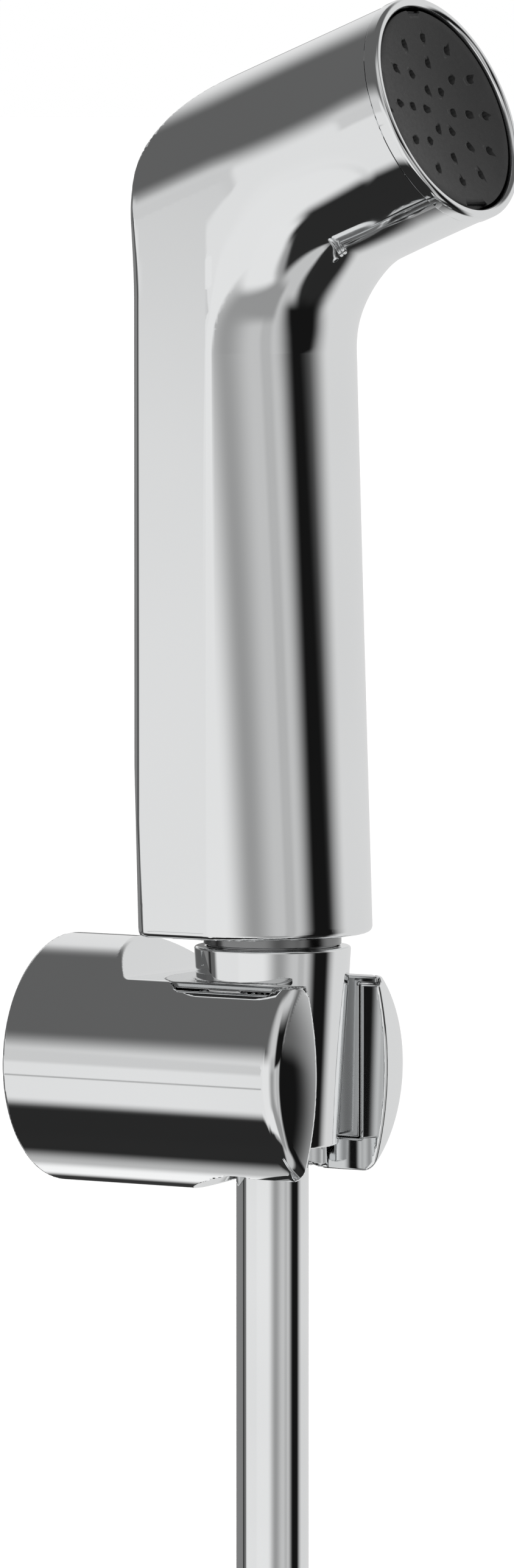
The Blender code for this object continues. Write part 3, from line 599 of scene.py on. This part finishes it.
def hose_route():
    pts = [(0.0, SEAT_Y, z) for z in (HOSE_TOP_Z, -25.0, -55.0, -85.0, -115.0, -140.0)]
    for deg in (180, 205, 230, 255, 280, 305, 330):
        a = math.radians(deg)
        y = coil_y(deg - 360.0) if deg > 300 else SEAT_Y - 0.2 * (deg - 180) / 120
        pts.append((LEAD_R + LEAD_R * math.cos(a), y, COIL_Z + LEAD_R * math.sin(a)))
    turns = np.append(np.arange(0.0, COIL_END_DEG - 15.0, 25.0), COIL_END_DEG)
    for deg in turns:
        a = math.radians(deg)
        pts.append((COIL_X + COIL_R * math.cos(a), coil_y(deg), COIL_Z + COIL_R * math.sin(a)))
    last, out = np.array(pts[-1]), np.array([-math.sin(a), 0.0, math.cos(a)])
    for part in (1 / 3, 2 / 3, 1.0):
        pts.append(tuple(last + out * END_STRAIGHT * part))
    return pts


def spline(points, step):
    """Points about `step` apart on a natural cubic curve through `points`."""
    p = np.array(points, float)
    t = np.concatenate([[0], np.cumsum(np.linalg.norm(np.diff(p, axis=0), axis=1))])
    n = len(p)
    h = np.diff(t)
    m = np.zeros((n, n))
    rhs = np.zeros((n, 3))
    m[0, 0] = m[-1, -1] = 1
    for i in range(1, n - 1):
        m[i, i - 1], m[i, i], m[i, i + 1] = h[i - 1], 2 * (h[i - 1] + h[i]), h[i]
        rhs[i] = 6 * ((p[i + 1] - p[i]) / h[i] - (p[i] - p[i - 1]) / h[i - 1])
    c = np.linalg.solve(m, rhs)
    out = []
    for s in np.linspace(0, t[-1], int(round(t[-1] / step)) + 1):
        i = min(int(np.searchsorted(t, s, side="right")) - 1, n - 2)
        a, b = (t[i + 1] - s) / h[i], (s - t[i]) / h[i]
        out.append(
            a * p[i] + b * p[i + 1]
            + ((a**3 - a) * c[i] + (b**3 - b) * c[i + 1]) * h[i] ** 2 / 6
        )
    return np.array(out)


full = spline(hose_route(), 2.0)
hose_curve = bpy.data.curves.new("free_hose", "CURVE")
hose_curve.dimensions = "3D"
hose_curve.bevel_depth = HOSE_R * MM
hose_curve.bevel_resolution = 8
hose_curve.use_fill_caps = True
line = hose_curve.splines.new("POLY")
line.points.add(len(full) - 1)
for point, co in zip(line.points, full):
    point.co = (*(Vector(co) * MM), 1)
line.use_smooth = True
free_hose = bpy.data.objects.new("free_hose", hose_curve)
scene.collection.objects.link(free_hose)
hose_curve.materials.append(hose_skin)
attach(free_hose, "holder")
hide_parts("hose", "hose_coil", "hose_tail")

END_AT = Vector(full[-1])
END_DIR = Vector((-math.sin(math.radians(COIL_END_DEG)), 0, math.cos(math.radians(COIL_END_DEG))))

# ---- fittings at the hose's free end ----------------------------------------
sleeve = make(
    "free_end_sleeve",
    *turned(
        eased(
            [(6.2, -18.0), (7.5, -18.0), (7.5, -14.6), (7.15, -14.2), (7.15, -12.8), (7.5, -12.4), (7.5, -5.0),
             (7.15, -4.6), (7.15, -3.4), (7.5, -3.0), (7.5, 0.0), (9.9, 0.0), (9.9, 2.0), (3.6, 2.0), (3.6, -0.3), (6.2, -0.3)],
            0.15, 2,
        ),
        END_AT, END_DIR, 96,
    ),
    chrome, "holder", ["hose_lower_ferrule"],
)
AF = 12.0
hex_nut = make(
    "free_end_nut",
    *turned(eased([(0, -3.6), (11.6, -3.6), (11.6, 12.0), (0, 12.0)], [0, 0.5, 0.6, 0], 4), END_AT, END_DIR, 96),
    chrome, None,
)
hex_shape = cutter("hex_shape", *turned(disc(AF / math.cos(math.pi / 6), -3.2, 8.0), END_AT, END_DIR, 6))
hex_round = cutter(
    "hex_round",
    *turned([(0, -6), (11.9, -6), (14.0, -2.2), (14.0, 7.0), (11.9, 9.0), (0, 9.0)], END_AT, END_DIR, 96),
)
carve(hex_shape, [hex_round], "INTERSECT")
bore = cutter(
    "hex_bore",
    *turned(eased([(0, -6), (7.8, -6), (7.8, -0.4), (10.4, -0.4), (10.4, 11.5), (10.9, 12.0), (10.9, 14), (0, 14)], 0.1, 2),
            END_AT, END_DIR, 96),
)
carve(hex_nut, [hex_shape], "UNION")
carve(hex_nut, [bore])
hex_nut.data.shade_smooth()
hex_nut.data.set_sharp_from_angle(angle=math.radians(24))
soft = hex_nut.modifiers.new("edges", "BEVEL")
soft.width, soft.segments, soft.limit_method, soft.angle_limit = 0.00022, 2, "ANGLE", math.radians(30)
soft.harden_normals = True
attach(hex_nut, "end_nut")
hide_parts("end_nut")


# ---- handset shell ----------------------------------------------------------
def oval_round(x, v, power, scale):
    """Distance from an oval of half height TUBE_R and half width TUBE_R / scale."""
    u, v = np.abs(x) * scale + 1e-6, np.abs(v) + 1e-6
    q = (u**power + v**power) ** (1 / power)
    slope = np.hypot(scale * (u / q) ** (power - 1), (v / q) ** (power - 1))
    return (q - TUBE_R) / np.maximum(slope, 1e-6)


def handset_form(x, y, z, end=SHELL_END):
    """Distance-like value, negative inside the handset's outer form."""
    f = SEAT_Y - y
    ax = np.abs(x)
    ct, st = math.cos(TILT), math.sin(TILT)
    along = (f - FACE_F) * ct + (z - FACE_Z) * st
    above = -(f - FACE_F) * st + (z - FACE_Z) * ct
    # handle: flat sides, arched front
    rise = FRONT_F - FRONT_RATE * (z - FRONT_Z0) - CREASE_F
    radius = (HALF_W**2 + rise**2) / (2 * rise)
    front = np.hypot(x, f - (rise + CREASE_F - radius)) - radius
    side = ax - HALF_W
    handle = rounded_max(side, front, 0.35)
    handle = np.maximum(handle, above)
    # head: a round tube, a little wider and fuller below where it grows out of the handle
    near = smooth_step((-5 - along) / 26)
    scale = TUBE_R / (TUBE_R + 0.15 + (NECK_HALF_W - TUBE_R - 0.15) * near)
    full = (NECK_POWER - 2) * smooth_step((-5 - along) / NECK_RUN)
    head = oval_round(x, above, 2 + full * smooth_step(-above / 8), scale)
    # bend under the head: the handle's section, turned about a line ahead of it,
    # becomes the head's
    taper = math.hypot(1, FRONT_RATE)
    out_h = np.array([1 / taper, FRONT_RATE / taper])
    out_u = np.array([st, -ct])
    reach_h = (FRONT_F + FRONT_RATE * FRONT_Z0) / taper + BEND_R
    reach_u = TUBE_R + st * FACE_F - ct * FACE_Z + BEND_R
    bf, bz = np.linalg.solve(np.array([out_h, out_u]), np.array([reach_h, reach_u]))
    whole = math.acos(float(out_h @ out_u))
    over_h = (out_h * math.cos(whole) - out_u) / math.sin(whole)
    vf, vz = f - bf, z - bz
    depth = np.hypot(vf, vz) - BEND_R
    turn = np.arctan2(
        vf * over_h[0] + vz * over_h[1], -(vf * out_h[0] + vz * out_h[1])
    ) / whole
    share = smooth_step((turn - BEND_FROM) / (BEND_TO - BEND_FROM))
    arch = np.hypot(x, np.maximum(radius - depth, 0)) - radius
    arch = rounded_max(side, arch, 0.35 + 2.5 * share)
    low = np.minimum(depth, TUBE_R)
    oval = oval_round(x, TUBE_R - low, 2 + full * smooth_step((TUBE_R - low) / 8), scale)
    bend = np.maximum((1 - share) * arch + share * oval, np.maximum(above, depth - 27))
    bend = np.where((turn >= 0) & (turn <= 1), bend, 99.0)
    body = np.minimum(np.minimum(handle, head), bend)
    # flat back rolling over into the top
    steep = TILT + math.radians(1.0)
    cf = SEAT_Y - BACK_Y + SHOULDER_R
    top = np.array([-math.sin(steep), math.cos(steep)])
    reach = 14.0
    crest_z = FACE_Z + (reach - FACE_F) * math.tan(TILT) + TUBE_R / ct
    level = top[0] * reach + top[1] * crest_z - SHOULDER_R
    cz = (level - top[0] * cf) / top[1]
    wf, wz = f - cf, z - cz
    in_arc = (wz > 0) & (wf * math.cos(steep) + wz * math.sin(steep) < 0)
    flat = np.maximum(-wf, wf * top[0] + wz * top[1])
    profile = np.where(in_arc, np.hypot(wf, wz), flat) - SHOULDER_R
    corner = BACK_CORNER * (1 - smooth_step((z - 122) / 26)) + 0.35
    body = (
        np.minimum(np.maximum(body, profile), -corner)
        + np.hypot(np.maximum(body + corner, 0), np.maximum(profile + corner, 0))
    )
    body = rounded_max(body, BOTTOM_Z - z, 1.0)
    return np.maximum(body, along - end)


def handset_skin_form(x, y, z):
    """The form with its open end run on, so that the edge there is cut clean."""
    return handset_form(x, y, z, SHELL_END + 3.0)


def handset_slope_form(x, y, z):
    return handset_form(x, y, z, 60.0)


def shade_outside(obj, field, within=0.03):
    """Picks the faces that lie on the field's surface, to be shaded by its slope,
    and leaves out the cut faces, which keep their own normals."""
    mesh = obj.data
    co = np.empty(len(mesh.vertices) * 3, np.float32)
    mesh.vertices.foreach_get("co", co)
    co = co.reshape(-1, 3).astype(float) / MM
    value = np.abs(field(*co.T))
    slope = slope_of(field, co)
    slope /= np.maximum(np.linalg.norm(slope, axis=1), 1e-9)[:, None]
    mesh.shade_smooth()
    corner_v = np.empty(len(mesh.loops), np.int32)
    mesh.loops.foreach_get("vertex_index", corner_v)
    start = np.empty(len(mesh.polygons), np.int32)
    total = np.empty(len(mesh.polygons), np.int32)
    mesh.polygons.foreach_get("loop_start", start)
    mesh.polygons.foreach_get("loop_total", total)
    face_n = np.empty(len(mesh.polygons) * 3, np.float32)
    mesh.polygons.foreach_get("normal", face_n)
    face_n = face_n.reshape(-1, 3)
    face_of = np.repeat(np.arange(len(start)), total)
    order = np.argsort(np.repeat(start, total), kind="stable")
    face_of = face_of[order]
    on = (value[corner_v] < within).astype(float)
    share = np.zeros(len(start))
    np.add.at(share, face_of, on)
    agree = np.einsum("ij,ij->i", slope[corner_v], face_n[face_of])
    low = np.full(len(start), 9.0)
    np.minimum.at(low, face_of, agree)
    outer = (share >= total) & (low > 0.55)
    return outer, face_of, corner_v, slope


shell_v, shell_q, shell_n = surface_net(
    handset_skin_form, (-21.3, -82.4, 20.1), (21.3, -22.3, 175.1), 0.68
)
shell = make("handset_skin", shell_v, shell_q, chrome, None, normals=shell_n)
carve(
    shell,
    [
        cutter("shell_end", *turned([(0, SHELL_END), (26, SHELL_END), (26, 9), (0, 9)], FACE, AX, 64)),
        cutter("handle_cavity", *box(-13.0, 13.0, SEAT_Y - 4.5, BACK_Y - 2.5, 30.0, 144.0)),
        cutter("head_cavity", *turned([(0, -32.5), (15.4, -32.5), (15.4, -6.3), (17.6, -6.3), (17.6, 6), (0, 6)], FACE, AX, 160)),
        cutter("inlet_bore", *turned(disc(9.0, 15, 31), SEAT, Z, 64)),
        cutter("button_hole", *turned(
            [(0, -30), (BUTTON_R + 0.35, -30), (BUTTON_R + 0.35, BACK_Y - 0.35), (BUTTON_R + 0.75, BACK_Y + 0.05),
             (BUTTON_R + 0.75, -15), (0, -15)], (0, 0, BUTTON_Z), Y, 128)),
    ],
)
outer, face_of, corner_v, slope = shade_outside(shell, handset_slope_form)
mesh = shell.data
mesh.set_sharp_from_angle(angle=math.radians(38))
corner = np.empty(len(mesh.loops) * 3, np.float32)
mesh.corner_normals.foreach_get("vector", corner)
corner = corner.reshape(-1, 3)
pick = outer[face_of]
corner[pick] = slope[corner_v[pick]]
mesh.normals_split_custom_set([tuple(v) for v in corner.tolist()])
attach(shell, "holder")
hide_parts("handset_shell")


# ---- holder -----------------------------------------------------------------
def front_form(x, y, z, shrink=0.0):
    """The holder's turned outside: round side, dome and the edge between them."""
    s = -y
    r = np.hypot(x, z)
    sphere = np.sqrt(r**2 + (s - (DOME_POLE - DOME_R)) ** 2) - (DOME_R - shrink)
    return rounded_max(r - (HOLDER_R - shrink), sphere, HOLDER_EDGE)


def slot_form(x, y, z):
    return rounded_max(np.abs(x) - SLOT_HALF, y - SEAT_Y, 0.05)


def holder_field(x, y, z):
    r = np.hypot(x, z)
    q = np.hypot(x, y - SEAT_Y)
    body = rounded_max(front_form(x, y, z), y, 0.5)
    slope = (y - RELIEF_Y - RELIEF_SLOPE * (z - RELIEF_Z)) / math.hypot(1, RELIEF_SLOPE)
    keep = rounded_min(z - RELIEF_Z, -slope, 0.6)
    body = rounded_max(body, keep, 0.4)
    lip = np.minimum(q - LIP_BORE_R, (q - (LIP_BORE_R + COUNTERSINK_Z - z)) / math.sqrt(2))
    barrel = np.maximum(q - BARREL_POCKET_R, LEDGE_Z - z)
    flange = np.maximum(q - FLANGE_POCKET_R, FLANGE_POCKET_Z - z)
    body = rounded_max(body, -slot_form(x, y, z), 0.55)
    body = rounded_max(body, -np.minimum(np.minimum(lip, barrel), flange), 0.25)
    wall_side = np.maximum(r - BACK_POCKET_R, -y - BACK_POCKET_D)
    grub = np.maximum(np.hypot(x, y - GRUB_Y) - 2.3, z + 10)
    body = rounded_max(body, -wall_side, 0.3)
    return rounded_max(body, -grub, 0.25)


def liner_field(x, y, z):
    q = np.hypot(x, y - SEAT_Y)
    cone = CONE_BOT_R + (z - CONE_BOT_Z) * CONE_RATE + 0.3
    under = FLANGE_POCKET_Z + 0.2
    out = np.minimum(q - (BARREL_POCKET_R - 0.08), np.maximum(q - (FLANGE_POCKET_R - 0.08), under - z))
    body = rounded_max(out, z - RELIEF_Z, 0.2)
    body = rounded_max(body, LEDGE_Z + 0.1 - z, 0.2)
    body = rounded_max(body, cone - q, 0.25)
    body = rounded_max(body, -slot_form(x, y, z), 0.25)
    return rounded_max(body, front_form(x, y, z, 0.2), 0.25)


fine = 0.4
v, q, n = surface_net(holder_field, (-21.13, -55.63, -21.13), (21.13, 1.13, 21.13), fine)
holder = make("holder_skin", v, q, chrome, "holder", ["holder_body"], normals=n)
v, q, n = surface_net(liner_field, (-18.13, -56.13, -12.63), (18.13, -20.13, 15.63), fine)
liner = make("seat_skin", v, q, seat_plate_painted_shade, "holder", ["holder_liner"], normals=n)


# ---- nut, inlet collar ------------------------------------------------------
def cone_r(z):
    return CONE_BOT_R + (z - CONE_BOT_Z) * CONE_RATE


nut = make(
    "cone_nut_skin",
    *turned(
        eased(
            [(7.8, CONE_BOT_Z), (CONE_BOT_R, CONE_BOT_Z), (cone_r(CONE_TOP_Z), CONE_TOP_Z), (10.65, CONE_TOP_Z), (10.65, 4.1), (7.8, 4.1)],
            [0.2, 0.45, 0.45, 0.2, 0, 0], 5,
        ),
        SEAT, Z, 160,
    ),
    nut_chrome, "holder", ["conical_nut"],
)
collar_z = CONE_TOP_Z + 0.3
collar = make(
    "inlet_skin",
    *turned(
        eased(
            [
                (4.0, 8.5), (10.3, 8.5), (10.3, collar_z), (11.0, collar_z), (11.0, 21.3), (8.7, 21.3),
                (8.7, 25.4), (7.2, 25.4), (7.2, 28.0), (8.7, 28.0), (8.7, 29.7), (4.3, 29.7),
                (4.3, 36.0), (2.6, 36.0), (2.6, 30.0), (4.0, 28.0),
            ],
            0.12, 2,
        ),
        SEAT, Z, 128,
    ),
    inlet_plate_painted_shade, "holder", ["inlet_connector"],
)

# ---- spray head -------------------------------------------------------------
ring = make(
    "rim_skin",
    *turned(
        [(16.95, -5.6), (17.3, -5.6), (17.3, -0.55), (18.5, -0.55)]
        + arc(18.5, -0.4, 0.15, -90, 0, 3)
        + [(18.65, 0.7)]
        + arc(17.85, 1.15, 0.8, 0, 180, 20)
        + [(16.95, 0.9)],
        FACE, AX, 200,
    ),
    chrome, "holder", ["rim_ring"], sharp=60,
)

dish_r = list(np.linspace(16.35, 0, 15)[:-1])
plate = make(
    "spray_skin",
    *turned(
        [(16.65, -1.3), (16.65, 0.86), (16.58, 1.02)]
        + [(r, r * r / 230.0 + (0.0 if r < 16.3 else -0.02)) for r in dish_r]
        + [(0, 0.0), (0, -1.3)],
        FACE, AX, 160,
    ),
    black, None,
)
jets = []
for ring_r, number, phase in ((3.87, 6, -2.186), (7.94, 8, -2.451), (12.16, 12, -2.714)):
    for k in range(number):
        t = phase + 2 * math.pi * k / number
        jets.append(FACE + (Vector((1, 0, 0)) * math.cos(t) + UP * math.sin(t)) * ring_r)
jv, jf = [], []
for at in jets:
    a, b = turned([(0, -1.24), (0.74, -1.24), (0.74, 3.0), (0, 3.0)], at, AX, 24)
    base = len(jv)
    jv += a
    jf += [[i + base for i in poly] for poly in b]
notches = []
for angle, half in ((90.0, 1.7), (-90.0, 2.9), (180.0, 1.1), (152.0, 1.1), (208.0, 1.1)):
    t = math.radians(angle)
    out = Vector((1, 0, 0)) * math.cos(t) + UP * math.sin(t)
    across = Vector((1, 0, 0)) * -math.sin(t) + UP * math.cos(t)
    deep = 0.62 if half > 1.5 else 0.3
    notches.append(cutter(f"notch_{int(angle)}", *placed_box(FACE + out * 17.0 + AX * 1.5, out, across, AX, (17.0 - 16.65 + deep, half, 1.1))))
carve(plate, [cutter("jet_holes", jv, jf)] + notches)
plate.data.shade_smooth()
plate.data.set_sharp_from_angle(angle=math.radians(32))
even = plate.modifiers.new("even_normals", "WEIGHTED_NORMAL")
even.keep_sharp = True
even.weight = 80
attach(plate, "holder")
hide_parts("spray_face")

# ---- thumb button -----------------------------------------------------------
button = make(
    "button_skin",
    *turned(
        [(4.8, -28.0), (8.6, -28.0), (8.6, -26.9), (BUTTON_R, -26.9), (BUTTON_R, -18.4)]
        + arc(BUTTON_R - 1.1, -18.4, 1.1, 0, 80, 8)[1:]
        + [(5.6, -17.2), (4.4, -17.05), (3.3, -16.93), (2.2, -16.86), (1.1, -16.81), (0, -16.8), (0, -19.0), (4.8, -19.0)],
        (0, 0, BUTTON_Z), Y, 128,
    ),
    chrome, "button", ["push_button"],
)

# ---- return spring ------------------------------------------------------------
SPRING_TURNS, SPRING_R, WIRE = 5, 3.7, 0.35
SPRING_TOP, SPRING_LOW = -19.75, -30.75
spring_steps, around = SPRING_TURNS * 24, 8
sv, sf = [], []
for k in range(spring_steps + 1):
    a = 2 * math.pi * SPRING_TURNS * k / spring_steps
    out = Vector((math.cos(a), 0, math.sin(a)))
    at = out * SPRING_R + Vector((0, SPRING_LOW + (SPRING_TOP - SPRING_LOW) * k / spring_steps, BUTTON_Z))
    for i in range(around):
        t = 2 * math.pi * i / around
        sv.append(at + (out * math.cos(t) + Vector((0, 1, 0)) * math.sin(t)) * WIRE)
for k in range(spring_steps):
    for i in range(around):
        j = (i + 1) % around
        sf.append([k * around + i, k * around + j, (k + 1) * around + j, (k + 1) * around + i])
sf.append(list(range(around)))
sf.append([spring_steps * around + i for i in range(around)])
spring = make("spring_coil", sv, sf, steel, None)
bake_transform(spring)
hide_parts("return_spring")

# ---- floor ------------------------------------------------------------------
FLOOR_Z = cad_low.z - 0.0006
floor_mesh = bpy.data.meshes.new("floor")
floor_n = 96
floor_mesh.from_pydata(
    [(60 * math.cos(2 * math.pi * k / floor_n), 60 * math.sin(2 * math.pi * k / floor_n), FLOOR_Z) for k in range(floor_n)],
    [], [list(range(floor_n))],
)
floor = bpy.data.objects.new("floor", floor_mesh)
scene.collection.objects.link(floor)
floor_mat, fn, fshader = new_material("floor_paint")
speck = fn.noise(14.0, 4.0)
fn.link(fn.mix(fn.span(speck, 0.3, 0.7), rgb(0.91), rgb(0.93)), fshader.inputs["Base Color"])
fshader.inputs["Roughness"].default_value = 0.9
fshader.inputs["Specular IOR Level"].default_value = 0.1
fshader.inputs["Emission Color"].default_value = (1.0, 1.0, 1.0, 1.0)
fshader.inputs["Emission Strength"].default_value = 0.14
floor_mesh.materials.append(floor_mat)
floor.visible_glossy = False

# ---- studio -----------------------------------------------------------------
world = bpy.data.worlds.new("studio")
scene.world = world
world.use_nodes = True
w = Nodes(world.node_tree)
background = world.node_tree.nodes["Background"]
ray = w.new("ShaderNodeTexCoord").outputs["Generated"]


def along(direction):
    node = w.new("ShaderNodeVectorMath", operation="DOT_PRODUCT")
    w.link(ray, node.inputs[0])
    node.inputs[1].default_value = tuple(direction)
    return node.outputs["Value"]


flat_back = Vector((back.x, back.y, 0)).normalized()
azimuth = w.math(
    "MULTIPLY", w.math("ARCTAN2", along(right), along(flat_back)), 180.0 / math.pi
)
height = w.math("MULTIPLY", w.math("ARCSINE", along((0, 0, 1))), 180.0 / math.pi)


def linear(tone):
    """Light for a tone of 0 to 255 on the screen."""
    t = tone / 255.0
    return t / 12.92 if t <= 0.04045 else ((t + 0.055) / 1.055) ** 2.4


def edge(kind, at, slant, soft):
    """Share of light inside one soft edge of a panel. The edge runs at azimuth
    at + slant * height for left and right, and at height at + slant * azimuth for
    bottom and top."""
    across, run = (azimuth, height) if kind in ("left", "right") else (height, azimuth)
    if slant:
        across = w.math("SUBTRACT", across, w.math("MULTIPLY", run, slant))
    sign = 1 if kind in ("left", "bottom") else -1
    return w.span(across, at - sign * soft / 2, at + sign * soft / 2)


def panel(below, tone, *edges):
    """Hangs a panel of one tone, bounded by its soft edges, before what is there."""
    mask = None
    for one in edges:
        share = edge(*one)
        mask = share if mask is None else w.math("MULTIPLY", mask, share)
    node = w.new("ShaderNodeMix", data_type="FLOAT")
    w.put(node.inputs[0], mask)
    w.put(node.inputs[2], below)
    node.inputs[3].default_value = linear(tone) / PLATE
    return node.outputs[0]


PLATE = 0.915        # what the plating gives back
start = w.new("ShaderNodeValue")
start.outputs[0].default_value = linear(ROOM) / PLATE
sky = start.outputs[0]
for name, tone, edges in STUDIO:
    sky = panel(sky, tone, *edges)

seen = w.new("ShaderNodeLightPath")
last = w.new("ShaderNodeMix", data_type="FLOAT")
w.link(seen.outputs["Is Camera Ray"], last.inputs[0])
w.link(sky, last.inputs[2])
last.inputs[3].default_value = 1.0
w.link(last.outputs[0], background.inputs["Color"])
background.inputs["Strength"].default_value = 1.0

lamp = bpy.data.lights.new("overhead", "SUN")
lamp.energy = 2.4
lamp.angle = math.radians(50)
overhead = bpy.data.objects.new("overhead", lamp)
overhead.rotation_euler = (math.radians(14), math.radians(-10), 0)
scene.collection.objects.link(overhead)
overhead.visible_glossy = False

scene.view_settings.view_transform = "Standard"
